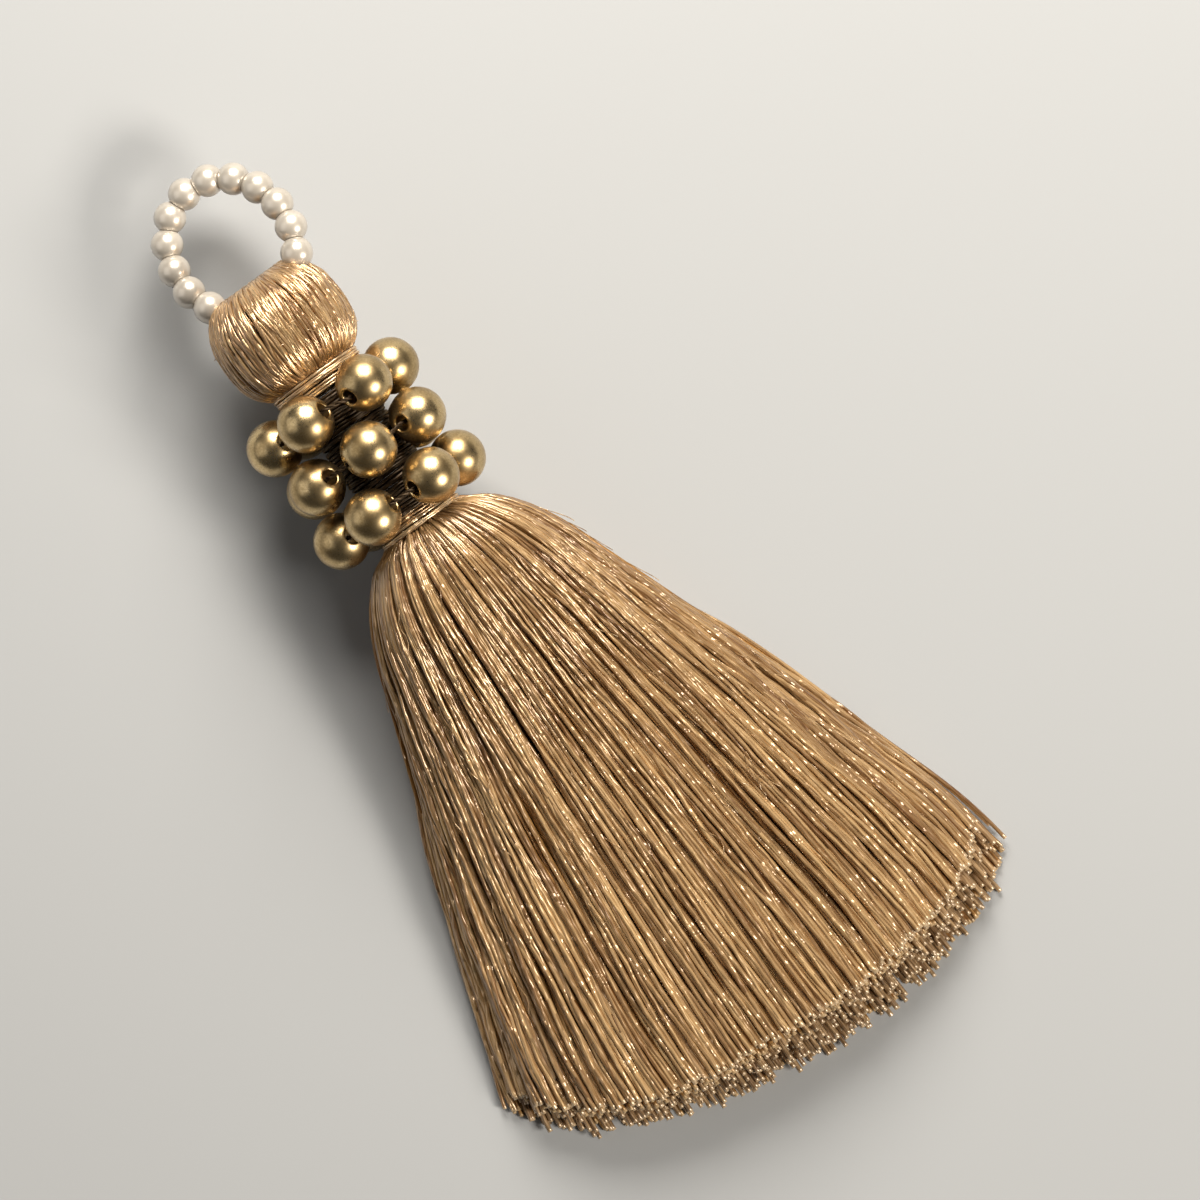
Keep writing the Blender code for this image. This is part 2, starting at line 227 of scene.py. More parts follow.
def waves(chance, along, shortest, longest):
    """Smooth wandering of each thread along its length, between about -1 and 1."""
    count = along.shape[0]
    total = np.zeros_like(along)
    for _ in range(3):
        size = chance.uniform(shortest, longest, (count, 1))
        phase = chance.uniform(0, 2 * np.pi, (count, 1))
        total += np.sin(2 * np.pi * along / size + phase)
    return total / 2


def unit(vectors):
    """The vectors, each of length 1."""
    return vectors / np.linalg.norm(vectors, axis=-1, keepdims=True)


def round_axis(angle, along, radius):
    """Points round the neck's axis at angles from the crest, and the outward directions there."""
    outwards = np.stack(np.broadcast_arrays(np.sin(angle), 0 * along, np.cos(angle)), axis=-1)
    points = outwards * radius[..., None]
    points[..., 1] = along
    points += np.array((AXIS_X, ROOT_Y, AXIS_HEIGHT))
    return points, outwards


# Meshes


def finish_piece(piece, finish, replaced):
    """Gives a piece its material, and says what it rides on and the solids it replaces."""
    piece.data.materials.clear()
    piece.data.materials.append(finish)
    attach(piece, "root")
    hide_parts(*replaced)


def mesh_object(name, corners, quads, caps):
    """An object from its corners, its smooth four-sided faces and its flat end caps."""
    mesh = bpy.data.meshes.new(name)
    mesh.vertices.add(len(corners))
    mesh.vertices.foreach_set("co", corners.ravel())
    mesh.loops.add(quads.size + caps.size)
    mesh.loops.foreach_set("vertex_index", np.concatenate((quads.ravel(), caps.ravel())))
    mesh.polygons.add(len(quads) + len(caps))
    cap_starts = quads.size + np.arange(len(caps)) * caps.shape[1]
    mesh.polygons.foreach_set("loop_start", np.concatenate((np.arange(len(quads)) * 4, cap_starts)))
    mesh.update(calc_edges=True)
    mesh.polygons.foreach_set("use_smooth", np.arange(len(mesh.polygons)) < len(quads))
    piece = bpy.data.objects.new(name, mesh)
    bpy.context.scene.collection.objects.link(piece)
    return piece


def strands(name, paths, radii, ups, sides, tints, closed=False):
    """Many strands as one mesh.

    paths and ups are (strand, point, 3), radii is (strand, point), and tints has one value a strand.
    A face's UV runs along its strand in millimetres and once round it.
    """
    count, points = radii.shape
    if closed:
        along = np.roll(paths, -1, axis=1) - np.roll(paths, 1, axis=1)
    else:
        along = np.gradient(paths, axis=1)
    along = unit(along)
    side = unit(np.cross(along, ups))
    up = np.cross(side, along)
    turn = (2 * np.pi * np.arange(sides) / sides)[:, None]
    ring = side[:, :, None] * np.cos(turn) + up[:, :, None] * np.sin(turn)
    corners = paths[:, :, None] + ring * radii[:, :, None, None]

    index = np.arange(count * points * sides).reshape(count, points, sides)
    beside = np.roll(index, -1, axis=2)
    last = points if closed else points - 1
    after = np.roll(index, -1, axis=1)[:, :last]
    after_beside = np.roll(beside, -1, axis=1)[:, :last]
    quads = np.stack((index[:, :last], after, after_beside, beside[:, :last]), axis=-1).reshape(-1, 4)
    caps = np.zeros((0, sides), int) if closed else np.vstack((index[:, 0], index[:, -1, ::-1]))
    piece = mesh_object(name, corners.reshape(-1, 3), quads, caps)

    following = np.roll(paths, -1, axis=1)
    steps = np.linalg.norm(following - paths, axis=-1)[:, :last] / MM
    far = np.cumsum(steps, axis=1)
    near = far - steps
    u = np.stack((near, far, far, near), axis=-1)[:, :, None]
    v = np.arange(sides) / sides
    v = np.stack((v, v, v + 1 / sides, v + 1 / sides), axis=-1)
    shape = (count, last, sides, 4)
    uv = np.stack((np.broadcast_to(u, shape), np.broadcast_to(v, shape)), axis=-1).reshape(-1, 2)
    uv = np.vstack((uv, np.zeros((caps.size, 2))))
    piece.data.uv_layers.new(name="thread").data.foreach_set("uv", uv.ravel())

    # The last ring of an open strand marks its tip, which the silk paints paler: the frayed end, with a
    # painted highlight.
    tips = np.zeros((count, points, sides))
    if not closed:
        tips[:, -1] = 1
    for label, values in (("tint", np.repeat(tints, points * sides)), ("frayed_tip_and_highlight", tips.ravel())):
        piece.data.attributes.new(label, "FLOAT", "POINT").data.foreach_set("value", values)
    return piece


def turned(name, profile, centre, axis, segments):
    """A ring-shaped solid turned round an axis. The profile has (along the axis, radius) points."""
    axis = unit(axis)
    side = unit(np.cross(axis, (0.0, 0.3, 1.0)))
    up = np.cross(axis, side)
    angles = (2 * np.pi * np.arange(segments) / segments)[:, None, None]
    around = np.cos(angles) * side + np.sin(angles) * up
    corners = centre + profile[:, :1] * axis + profile[:, 1:] * around
    index = np.arange(segments * len(profile)).reshape(segments, len(profile))
    after, beside = np.roll(index, -1, axis=1), np.roll(index, -1, axis=0)
    both = np.roll(after, -1, axis=0)
    quads = np.stack((index, after, both, beside), axis=-1).reshape(-1, 4)
    return mesh_object(name, corners.reshape(-1, 3), quads, np.zeros((0, 3), int))


# The skirt


def section_place(angle, below, depth):
    """Points of the skirt's section at an angle from its crest, and the outward directions there."""
    half_width, edge, crest = smooth(SKIRT_SECTIONS, below)
    rise = crest - edge
    out_x, out_z = np.sin(angle) / half_width, np.cos(angle) / rise
    size = np.hypot(out_x, out_z)
    out_x, out_z = out_x / size, out_z / size
    points = np.stack((
        AXIS_X + half_width * np.sin(angle) - out_x * depth,
        ROOT_Y - below,
        edge + rise * np.cos(angle) - out_z * depth,
    ), axis=-1)
    outwards = np.stack((out_x, np.zeros_like(out_x), out_z), axis=-1)
    return points, outwards


class SkirtTop:
    """The skirt's rounded top, by a share of its arc from the left edge (-1) to the right edge (1)."""

    ROWS, COLUMNS, ANGLES = 120, 161, 241
    CROWDING = 1.7

    def __init__(self):
        rows = np.linspace(0, 1, self.ROWS) ** self.CROWDING
        self.below = SKIRT_START + (SKIRT_END - SKIRT_START) * rows
        half_width, edge, crest = smooth(SKIRT_SECTIONS, self.below)
        angles = np.linspace(-np.pi / 2, np.pi / 2, self.ANGLES)
        shares = np.linspace(-1, 1, self.COLUMNS)
        self.angle = np.zeros((self.ROWS, self.COLUMNS))
        self.half_arc = np.zeros(self.ROWS)
        for row in range(self.ROWS):
            x = half_width[row] * np.sin(angles)
            z = (crest[row] - edge[row]) * np.cos(angles)
            arc = np.concatenate(([0], np.cumsum(np.hypot(np.diff(x), np.diff(z)))))
            self.half_arc[row] = arc[-1] / 2
            self.angle[row] = np.interp(shares, arc / self.half_arc[row] - 1, angles)

    def arc(self, below):
        """Half the length of the section's top."""
        return np.interp(below, self.below, self.half_arc)

    def angle_at(self, share, below):
        """The angle from the crest at a share of the arc."""
        row = np.clip((below - SKIRT_START) / (SKIRT_END - SKIRT_START), 0, 1)
        row = row ** (1 / self.CROWDING) * (self.ROWS - 1)
        column = (np.clip(share, -1, 1) + 1) / 2 * (self.COLUMNS - 1)
        i = np.clip(row.astype(int), 0, self.ROWS - 2)
        j = np.clip(column.astype(int), 0, self.COLUMNS - 2)
        s, t = row - i, column - j
        near = self.angle[i, j] * (1 - t) + self.angle[i, j + 1] * t
        far = self.angle[i + 1, j] * (1 - t) + self.angle[i + 1, j + 1] * t
        return near * (1 - s) + far * s


def cut_below(across_share, up_share):
    """Where a thread is cut, by its shares across the skirt and up through it."""
    reach = REACH + REACH_LEAN * across_share - REACH_ROUNDING * across_share**6
    half_width = smooth(SKIRT_SECTIONS, reach)[0]
    return np.sqrt(reach**2 - (half_width * across_share) ** 2) - TOP_SHORT * up_share**1.4


def make_grooves(chance):
    """The dark lines between bundles: where across, from and to below, depth and width."""
    grooves = []
    for spacing, deep, wide in GROOVES:
        centre = -GROOVE_EDGE
        while centre < GROOVE_EDGE:
            start = chance.uniform(-4, 34) * MM
            end = start + chance.uniform(14, 48) * MM
            grooves.append((centre, start, end, deep * chance.uniform(0.6, 1.2), wide))
            centre += spacing * chance.uniform(0.5, 1.5)
    return grooves


def press_grooves(grooves, share, below, half_arc):
    """How deep the grooves press the threads, and how far they push them aside."""
    depth = np.zeros_like(share)
    push = np.zeros_like(share)
    for centre, start, end, deep, wide in grooves:
        strength = smoothstep(start, start + 5 * MM, below) * (1 - smoothstep(end - 6 * MM, end, below))
        away = (share - centre) * half_arc
        shape = np.exp(-((away / wide) ** 2)) * strength
        depth += deep * shape
        push += away * shape * GROOVE_PUSH
    return depth, push / half_arc


def locks(share, below):
    """How deep the threads sink together, in soft locks a few millimetres wide."""
    s, b = share * LOCKS_ACROSS, below / MM
    wave = sum(np.sin(s * across + b * down + start) for across, down, start in LOCK_WAVES)
    return LOCK_DEPTH * wave * smoothstep(2, 12, b)


def thread_width(below):
    """The silk frays a little, so a thread is wider towards its end."""
    wider = THREAD_AT_END - THREAD_AT_ROOT
    return THREAD_AT_ROOT + wider * smoothstep(0, FULL_WIDTH_BELOW, below)


def stations(start, end, count):
    """Places along threads from a start to their ends, with one more just before the cut."""
    t = np.append(np.linspace(0, 0.993, count - 1) ** 1.2, 1.0)
    return start + (end - start) * t[None]


def build_skirt(silks, dark_silk):
    """Layers of threads on top, one underneath, cut ends, stray threads, fuzz and a dark core."""
    chance = np.random.default_rng(SEED)
    top = SkirtTop()
    build_top_layers(chance, top, silks)
    build_underside(chance, top, silks["shaded_under_silk"])
    build_cut_ends(chance, silks["shaded_cut_silk"])
    build_strays(chance, silks["silk"])
    build_skirt_fuzz(chance, top, silks["silk"])
    build_core(dark_silk)


def build_top_layers(chance, top, silks):
    """The long threads on the skirt's top, each layer as a left and a right piece."""
    grooves = make_grooves(chance)
    for name, count, points, sides, layer_depth, spread, up_share, silk in SKIRT_LAYERS:
        share = (np.arange(count) + 0.5) / count * 2 - 1 + chance.uniform(-0.4, 0.4, count) / count
        share = share[:, None] * spread
        across = np.sin(top.angle_at(share, np.full_like(share, NEAR_CUT)))
        end = cut_below(across, up_share) - chance.uniform(0, END_SCATTER, (count, 1))
        end += LEFT_FULLER * smoothstep(0.1, -0.6, across)
        below = stations(SKIRT_START, end, points)
        half_arc = top.arc(below)
        width = thread_width(below)

        free = smoothstep(0.5 * MM, 14 * MM, below)
        drift = waves(chance, below, *DRIFT_WAVES) * DRIFT * MM
        kink = waves(chance, below, *KINK_WAVES) * KINK * MM
        wandering = share + (drift + kink) * free / half_arc
        deep, push = press_grooves(grooves, wandering, below, half_arc)
        wandering = np.clip(wandering + push, -0.999, 0.999)

        # Where the section is too narrow for all threads side by side, some lie lower
        room = 2 * half_arc / (width * count)
        rank = chance.permutation(count)[:, None] / count
        sunk = smoothstep(-0.05, 0.25, rank - room * 0.92) * SUNK * MM
        lift = waves(chance, below, *LIFT_WAVES) * LIFT * MM * free
        depth = layer_depth + deep + sunk + lift + locks(wandering, below) + width / 2
        paths, ups = section_place(top.angle_at(wandering, below), below, depth)
        paths[..., 2] = np.maximum(paths[..., 2], width / 2)

        # Neighbours are a little alike in tint
        tints = chance.uniform(0.12, 0.88, count) + 0.22 * np.sin(share[:, 0] * 47 + layer_depth)
        tints = np.clip(tints, 0, 1)
        for number, part in enumerate(np.array_split(np.arange(count), 2), 1):
            radii = width[part] / 2
            piece = strands(f"{name}_{number}", paths[part], radii, ups[part], sides, tints[part])
            finish_piece(piece, silks[silk], ("silk_hank",))


def inner_place(across, up_share, below):
    """A point inside the skirt, by its shares across and up."""
    half_width, edge, crest = smooth(SKIRT_SECTIONS, below)
    rise = (crest - edge) * np.sqrt(np.clip(1 - across**2, 0, 1))
    underside = np.maximum(0, edge - rise)
    height = underside + up_share * (edge + rise - underside)
    x = AXIS_X + half_width * across
    return np.stack(np.broadcast_arrays(x, ROOT_Y - below, height), axis=-1)


def build_underside(chance, top, silk):
    """Threads round the skirt's lower half, from one side edge to the other, flat on the floor."""
    share = ((np.arange(UNDER_THREADS) + 0.5) / UNDER_THREADS * 2 - 1)[:, None]
    across = np.sin(top.angle_at(share, np.full_like(share, NEAR_CUT)))
    end = cut_below(across, 0.0) - chance.uniform(0, END_SCATTER, share.shape)
    end -= chance.exponential(0.7 * MM, share.shape) * (chance.uniform(0, 1, share.shape) < 0.6)
    below = stations(SKIRT_START, end, 36)
    width = thread_width(below)
    wandering = share + waves(chance, below, *DRIFT_WAVES) * UNDER_DRIFT * MM / top.arc(below)
    angle = np.pi - top.angle_at(np.clip(wandering, -1, 1), below)
    paths, ups = section_place(angle, below, width / 2 + chance.uniform(0, 0.25 * MM, share.shape))
    paths[..., 2] = np.maximum(paths[..., 2], width / 2)
    tints = chance.uniform(0, 1, UNDER_THREADS)
    piece = strands("skirt_underside", paths, width / 2, ups, 5, tints)
    finish_piece(piece, silk, ("silk_hank",))


def build_cut_ends(chance, shaded_cut_silk):
    """The ends of the threads that fill the skirt's thickness, over their last stretch, in a darker silk
    that is painted shade.
    """
    half_width, _, crest = smooth(SKIRT_SECTIONS, np.array(REACH))
    columns = int(2 * half_width / END_SPACING)
    rows = int(crest / (END_SPACING * END_ROW_SHARE)) + 1
    column, row = np.meshgrid(np.arange(columns), np.arange(rows))
    across = ((column + 0.5 + 0.5 * (row % 2)) / columns * 2 - 1).ravel()
    height = ((row + 0.4) * END_SPACING * END_ROW_SHARE).ravel()
    across += chance.uniform(-0.35, 0.35, across.size) * 2 / columns
    height += chance.uniform(-0.15, 0.15, height.size) * MM
    across = np.clip(across, -0.985, 0.985)
    _, edge, crest = smooth(SKIRT_SECTIONS, np.full_like(across, NEAR_CUT))
    ceiling = edge + (crest - edge) * np.sqrt(1 - across**2)
    kept = (height > LOWEST_END) & (height < ceiling - END_SPACING)
    across, up_share = across[kept][:, None], (height / ceiling)[kept][:, None]

    ragged = chance.uniform(-0.9 * MM, 1.2 * MM, across.shape)
    ragged += chance.exponential(0.6 * MM, across.shape)
    end = cut_below(across, up_share) - ragged
    below = end - END_LENGTH * np.array(END_STATIONS)
    bend = smoothstep(-END_LENGTH, 0, below - end)
    spread = chance.normal(0, 0.009, across.shape) * bend
    up_share = up_share * (0.80 + 0.20 * smoothstep(-END_LENGTH, -END_LENGTH * 0.3, below - end))
    up_share = up_share + chance.normal(0, 0.02, across.shape) * bend
    paths = inner_place(np.clip(across + spread, -0.99, 0.99), np.clip(up_share, 0, 1), below)
    width = thread_width(below) * chance.uniform(0.75, 1.0, across.shape)
    paths[..., 2] = np.maximum(paths[..., 2], width / 2)
    ups = np.broadcast_to((0.0, 0.0, 1.0), paths.shape)
    piece = strands("skirt_cut_ends", paths, width / 2, ups, 6, chance.uniform(0, 1, len(paths)))
    finish_piece(piece, shaded_cut_silk, ("silk_hank",))


def build_strays(chance, silk):
    """Single threads that have come away from the skirt's side edges."""
    each = (STRAY_THREADS, 1)
    leaves = 14 * MM  # where they come away
    side = np.where(np.arange(STRAY_THREADS) % 3 == 2, 1.0, -1.0)[:, None]
    end = cut_below(side * 0.99, 0.0) - chance.uniform(0.3, 3.0, each) * MM
    below = stations(leaves, end, 60)
    bow = smoothstep(leaves, 60 * MM, below) * chance.uniform(0.0, 1.1, each) * MM
    bow += waves(chance, below, 18 * MM, 40 * MM) * 0.25 * MM
    width = np.full_like(below, 0.36 * MM)
    paths = inner_place(side * (0.93 + 0.055 * smoothstep(leaves, 24 * MM, below)), 0.4, below)
    paths[..., 0] += side * bow
    height = paths[..., 2] + waves(chance, below, 20 * MM, 50 * MM) * 0.3 * MM
    paths[..., 2] = np.maximum(height, width / 2)
    ups = np.broadcast_to((0.0, 0.0, 1.0), paths.shape)
    piece = strands("skirt_strays", paths, width / 2, ups, 6, chance.uniform(0, 1, STRAY_THREADS))
    finish_piece(piece, silk, ("silk_hank",))


def build_skirt_fuzz(chance, top, silk):
    """Short fibres that stand off the skirt, except near its cut."""
    each = (SKIRT_FUZZ, 1)
    run = np.linspace(0, 1, 8)
    share = chance.uniform(-0.98, 0.98, each)
    start = chance.uniform(0.5, 36, each) * MM
    below = start + chance.uniform(1.5, 5.0, each) * MM * run
    rise = smoothstep(0, 1, run) * chance.uniform(0.1, 0.55, each) * MM
    wandering = share + waves(chance, below, 3 * MM, 9 * MM) * 0.35 * MM / top.arc(below)
    paths, ups = section_place(top.angle_at(wandering, below), below, 0.05 * MM - rise)
    radii = np.full(paths.shape[:2], 0.035 * MM)
    piece = strands("skirt_fuzz", paths, radii, ups, 4, chance.uniform(0, 1, SKIRT_FUZZ))
    finish_piece(piece, silk, ("silk_hank",))


def build_core(dark_silk):
    """The shaded mass of threads under the visible ones."""
    rows, columns = 44, 72
    shorter = 3.6 * MM  # than the threads round it
    share = np.linspace(0, 1, rows)[:, None] ** 1.3
    angle = 2 * np.pi * np.arange(columns)[None] / columns
    end = cut_below(np.sin(angle), (1 + np.cos(angle)) / 2) - shorter
    below = SKIRT_START + (end - SKIRT_START) * share
    depth = 1.0 * MM + 0.8 * MM * smoothstep(0, 8 * MM, below)
    points, _ = section_place(np.broadcast_to(angle, below.shape), below, depth)
    points[..., 2] = np.maximum(points[..., 2], 0.45 * MM)
    index = np.arange(rows * columns).reshape(rows, columns)
    beside = np.roll(index, -1, axis=1)
    quads = np.stack((index[:-1], beside[:-1], beside[1:], index[1:]), axis=-1).reshape(-1, 4)
    caps = np.vstack((index[0, ::-1], index[-1]))
    piece = mesh_object("skirt_core", points.reshape(-1, 3), quads, caps)
    finish_piece(piece, dark_silk, ("silk_hank",))


# The head


def head_arc(points):
    """One pass over the head: places along the axis and signed radii, evenly spaced, front to back."""
    foot = np.array(HEAD_FOOT) * MM
    start = -math.asin(HEAD_BOTTOM ** (HEAD_POWER / 2))
    turn = np.linspace(start, math.pi / 2, 400)
    share = np.sign(np.sin(turn)) * np.abs(np.sin(turn)) ** (2 / HEAD_POWER)
    radius = HEAD_RADIUS * np.abs(np.cos(turn)) ** (2 / HEAD_POWER)
    front = np.vstack((foot, np.stack((HEAD_MIDDLE + HEAD_HALF_LENGTH * share, radius), axis=-1)))
    back = front[-2::-1] * (1, -1)
    whole = np.vstack((front, back))
    far = np.concatenate(([0], np.cumsum(np.hypot(*np.diff(whole, axis=0).T))))
    even = np.linspace(0, far[-1], points)
    return even, np.interp(even, far, whole[:, 0]), np.interp(even, far, whole[:, 1])


def build_head(silk):
    """Threads that run up the head's front, over its top and down its back."""
    chance = np.random.default_rng(SEED + 1)
    for name, count, points, sides, layer_depth, slant in HEAD_LAYERS:
        each = (count, 1)
        even, along, radius = head_arc(points)
        even = np.broadcast_to(even, (count, points))
        middle = even[0, -1] / 2
        angle = ((np.arange(count) + 0.5) / count - 0.5) * np.pi
        angle = angle[:, None] + chance.uniform(-0.5, 0.5, each) * np.pi / count
        angle = angle + chance.normal(0, slant, each) * (even - middle) / middle
        angle = angle + waves(chance, even, *HEAD_DRIFT_WAVES) * HEAD_DRIFT
        depth = layer_depth + HEAD_DEPTH + waves(chance, even, *HEAD_LIFT_WAVES) * HEAD_LIFT * MM
        lying = np.abs(radius) / HEAD_RADIUS
        half_width = np.abs(radius) + HEAD_FOLD * np.clip(1 - lying, 0, 1) ** 1.5 * (along > HEAD_MIDDLE)
        outwards = np.stack(np.broadcast_arrays(
            np.sin(angle) * lying,
            (along - HEAD_MIDDLE) / HEAD_HALF_LENGTH * (1 - lying) + 1e-4,
            np.cos(angle) * radius / HEAD_RADIUS,
        ), axis=-1)
        outwards = unit(outwards)
        paths = np.stack(np.broadcast_arrays(
            AXIS_X + half_width * np.sin(angle),
            ROOT_Y + along,
            AXIS_HEIGHT + radius * np.cos(angle),
        ), axis=-1) - outwards * depth[..., None]
        radii = np.full((count, points), HEAD_THREAD_RADIUS)
        piece = strands(name, paths, radii, outwards, sides, chance.uniform(0, 1, count))
        finish_piece(piece, silk, ("silk_hank",))


def build_head_fuzz(chance, silk):
    """A few short fibres that stand off the head."""
    each = (HEAD_FUZZ, 1)
    run = np.linspace(0, 1, 6)
    angle = chance.uniform(-1.5, 1.5, each)
    along = chance.uniform(-3.5, 5.2, each) * MM + run * chance.normal(0, 0.7, each) * MM
    angle = angle + run * chance.normal(0, 0.12, each)
    share = np.clip(np.abs(along) / HEAD_HALF_LENGTH, 0, 0.995)
    rise = smoothstep(0, 1, run) * chance.uniform(0.1, 0.4, each) * MM
    radius = HEAD_RADIUS * (1 - share**HEAD_POWER) ** (1 / HEAD_POWER) + rise - 0.05 * MM
    paths, ups = round_axis(angle, HEAD_MIDDLE + along, radius)
    radii = np.full(radius.shape, 0.03 * MM)
    piece = strands("head_fuzz", paths, radii, ups, 4, chance.uniform(0, 1, HEAD_FUZZ))
    finish_piece(piece, silk, ("silk_hank",))


# The windings


def build_windings(chance, name, table, turns, finish, replaced):
    """Turns of thread wound side by side round the neck, each a little tilted and rippled."""
    spacing, steps, sides, loose = turns
    table = np.array(table[::-1]) * MM
    count = max(2, round((table[-1, 0] - table[0, 0]) / spacing))
    each = (count, 1)
    along = np.linspace(table[0, 0], table[-1, 0], count)[:, None]
    outside = np.interp(along, table[:, 0], table[:, 1])
    thread = spacing * TURN_RADIUS
    turn = np.linspace(0, 2 * np.pi, steps, endpoint=False)[None]
    tilt = chance.normal(0, loose, each) * np.cos(turn + chance.uniform(0, 6.3, each))
    ripple = chance.normal(0, loose * 0.35, each) * np.cos(3 * turn + chance.uniform(0, 6.3, each))
    radius = outside - thread + ripple + chance.uniform(-0.05, 0.05, each) * MM
    paths, ups = round_axis(turn, along + tilt, radius)
    radii = np.full(paths.shape[:2], thread)
    piece = strands(name, paths, radii, ups, sides, chance.uniform(0, 1, count), closed=True)
    finish_piece(piece, finish, (replaced,))


# Beads and pearls


def box_middle(name):
    """The middle of a solid's box."""
    low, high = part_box(name)
    return np.array((low + high) / 2)


def bead_profile(radius, bore, lip):
    """A bored ball's section, along its bore and out from it, from the radii of ball, bore and lip."""
    first = math.asin((bore + lip) / radius)
    turn = np.linspace(first, math.pi - first, BALL_STEPS)
    along, out = -radius * np.cos(turn), radius * np.sin(turn)
    curl = np.linspace(0, math.pi / 2, LIP_STEPS)[1:]
    mouth_out = bore + lip - lip * np.sin(curl)
    mouth_along = along[-1] - lip + lip * np.cos(curl)
    closing = np.stack((mouth_along, mouth_out), axis=-1)
    opening = closing[::-1] * (-1, 1)
    return np.vstack((np.stack((along, out), axis=-1), closing, opening))


def build_beads(brass, thread):
    """The rows of bored balls, each row on its thread."""
    chance = np.random.default_rng(SEED + 2)
    for row in range(1, BEAD_ROWS + 1):
        names = [f"brass_bead_{row}_{number}" for number in range(1, BEADS_A_ROW + 1)]
        centres = np.array([box_middle(name) for name in names])
        middle = centres.mean(axis=0)
        low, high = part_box(names[0])
        radius = (high.y - low.y) / 2
        profile = bead_profile(radius, BEAD_BORE_RADIUS, BEAD_LIP)
        mouths = []
        for name, centre in zip(names, centres):
            out = unit(centre - middle)
            lean = SIDE_LEAN_RIGHT if out[0] > 0 else -SIDE_LEAN_LEFT
            lean *= smoothstep(0.8, 1.0, abs(out[0]))
            axis = unit(np.cross(out, (0.0, 1.0, 0.0)) - out * lean + chance.normal(0, 0.05, 3))
            piece = turned(f"turned_{name}", profile, centre, axis, BALL_SEGMENTS)
            finish_piece(piece, brass, (name,))
            mouths.append((centre - axis * radius, centre + axis * radius))
        build_bead_thread(row, middle, centres, np.array(mouths), thread)


def build_bead_thread(row, middle, centres, mouths, thread):
    """The thread through a row of beads: two plies wound round each other, straight between beads."""
    forwards = np.roll(centres, -1, axis=0) - centres
    if np.sum(forwards[0] * (mouths[0, 1] - mouths[0, 0])) < 0:
        mouths = mouths[:, ::-1]
    corners = mouths.reshape(-1, 3)
    corners = np.vstack((corners, corners[:1]))
    far = np.concatenate(([0], np.cumsum(np.linalg.norm(np.diff(corners, axis=0), axis=1))))
    even = np.linspace(0, far[-1], PLY_POINTS, endpoint=False)
    path = np.stack([np.interp(even, far, column) for column in corners.T], axis=-1)
    for _ in range(4):
        path = (np.roll(path, 1, axis=0) + path * 2 + np.roll(path, -1, axis=0)) / 4
    along = unit(np.roll(path, -1, axis=0) - np.roll(path, 1, axis=0))
    outwards = unit(path - middle)
    aside = unit(np.cross(along, outwards))
    turn = (2 * np.pi * PLY_TURNS * even / far[-1])[:, None]
    plies = []
    for start in (0, np.pi):
        offset = np.cos(turn + start) * outwards + np.sin(turn + start) * aside
        plies.append(path + PLY_OFFSET * offset)
    ups = np.broadcast_to(outwards, (2, *outwards.shape))
    radii = np.full((2, len(path)), PLY_RADIUS)
    tints = np.array((0.3, 0.6))
    piece = strands(f"twisted_thread_{row}", np.array(plies), radii, ups, 6, tints, closed=True)
    finish_piece(piece, thread, (f"bead_thread_{row}",))


def build_pearls(pearl):
    """Round pearls, each one flat where it rests against the next."""
    names = [f"pearl_{number:02d}" for number in range(1, PEARLS + 1)]
    centres = np.array([box_middle(name) for name in names])
    axes = np.gradient(centres, axis=0)
    profile = bead_profile(PEARL_RADIUS, PEARL_BORE_RADIUS, PEARL_LIP)
    for number, (name, centre, axis) in enumerate(zip(names, centres, axes)):
        piece = turned(f"round_{name}", profile, centre, axis, BALL_SEGMENTS)
        corners = np.empty(len(piece.data.vertices) * 3)
        piece.data.vertices.foreach_get("co", corners)
        corners = corners.reshape(-1, 3)
        for neighbour in (number - 1, number + 1):
            if 0 <= neighbour < PEARLS:
                away = centres[neighbour] - centre
                half = np.linalg.norm(away) / 2
                away /= 2 * half
                over = (corners - centre) @ away - (half - PEARL_CLEARANCE)
                corners -= np.outer(np.maximum(over, 0), away)
        piece.data.vertices.foreach_set("co", corners.ravel())
        piece.data.update()
        finish_piece(piece, pearl, (name,))


# Materials

# The relief of the silk threads, in mm
SWELLING_HEIGHT = 0.165
SLUB_HEIGHT = 0.04
FIBRE_HEIGHT = 0.022

# Where the relief lies on a thread
TINT_SHIFT = 40.0  # how far apart in the patterns the darkest and the lightest thread start
SLUB_PACE = 0.50  # the slub pattern's steps a mm
SWELLING_FROM = 0.58  # the slub pattern's value where a swelling starts, and where it is full
SWELLING_FULL = 0.74
PLIES = 2
PLY_TWIST = 3.8  # radians a mm
FIBRES_ROUND = 7.0  # the fibre pattern's steps once round

# How tint and fibres take a thread from its dark colour (0) to its light one (1)
LIGHTNESS = -0.55
TINT_LIGHTNESS = 0.5
FIBRE_LIGHTNESS = 1.6

FIBRE_ROUGHNESS = 0.16  # from the smoothest fibre to the roughest


def new_material(name):
    """A material, its nodes and links, and its shader."""
    made = bpy.data.materials.new(name)
    made.use_nodes = True
    nodes = made.node_tree.nodes
    return made, nodes, made.node_tree.links, nodes["Principled BSDF"]


def maths(nodes, links, operation, *values):
    """A maths node whose inputs are numbers or other nodes' outputs."""
    made = nodes.new("ShaderNodeMath")
    made.operation = operation
    for socket, value in zip(made.inputs, values):
        if isinstance(value, bpy.types.NodeSocket):
            links.new(value, socket)
        else:
            socket.default_value = value
    return made.outputs[0]


def mixed(nodes, links, share, first, second):
    """A colour between two, each a tuple or another node's output."""
    made = nodes.new("ShaderNodeMix")
    made.data_type = "RGBA"
    for socket, value in ((made.inputs[0], share), (made.inputs[6], first), (made.inputs[7], second)):
        if isinstance(value, bpy.types.NodeSocket):
            links.new(value, socket)
        else:
            socket.default_value = (*value, 1.0) if isinstance(value, tuple) else value
    return made.outputs[2]


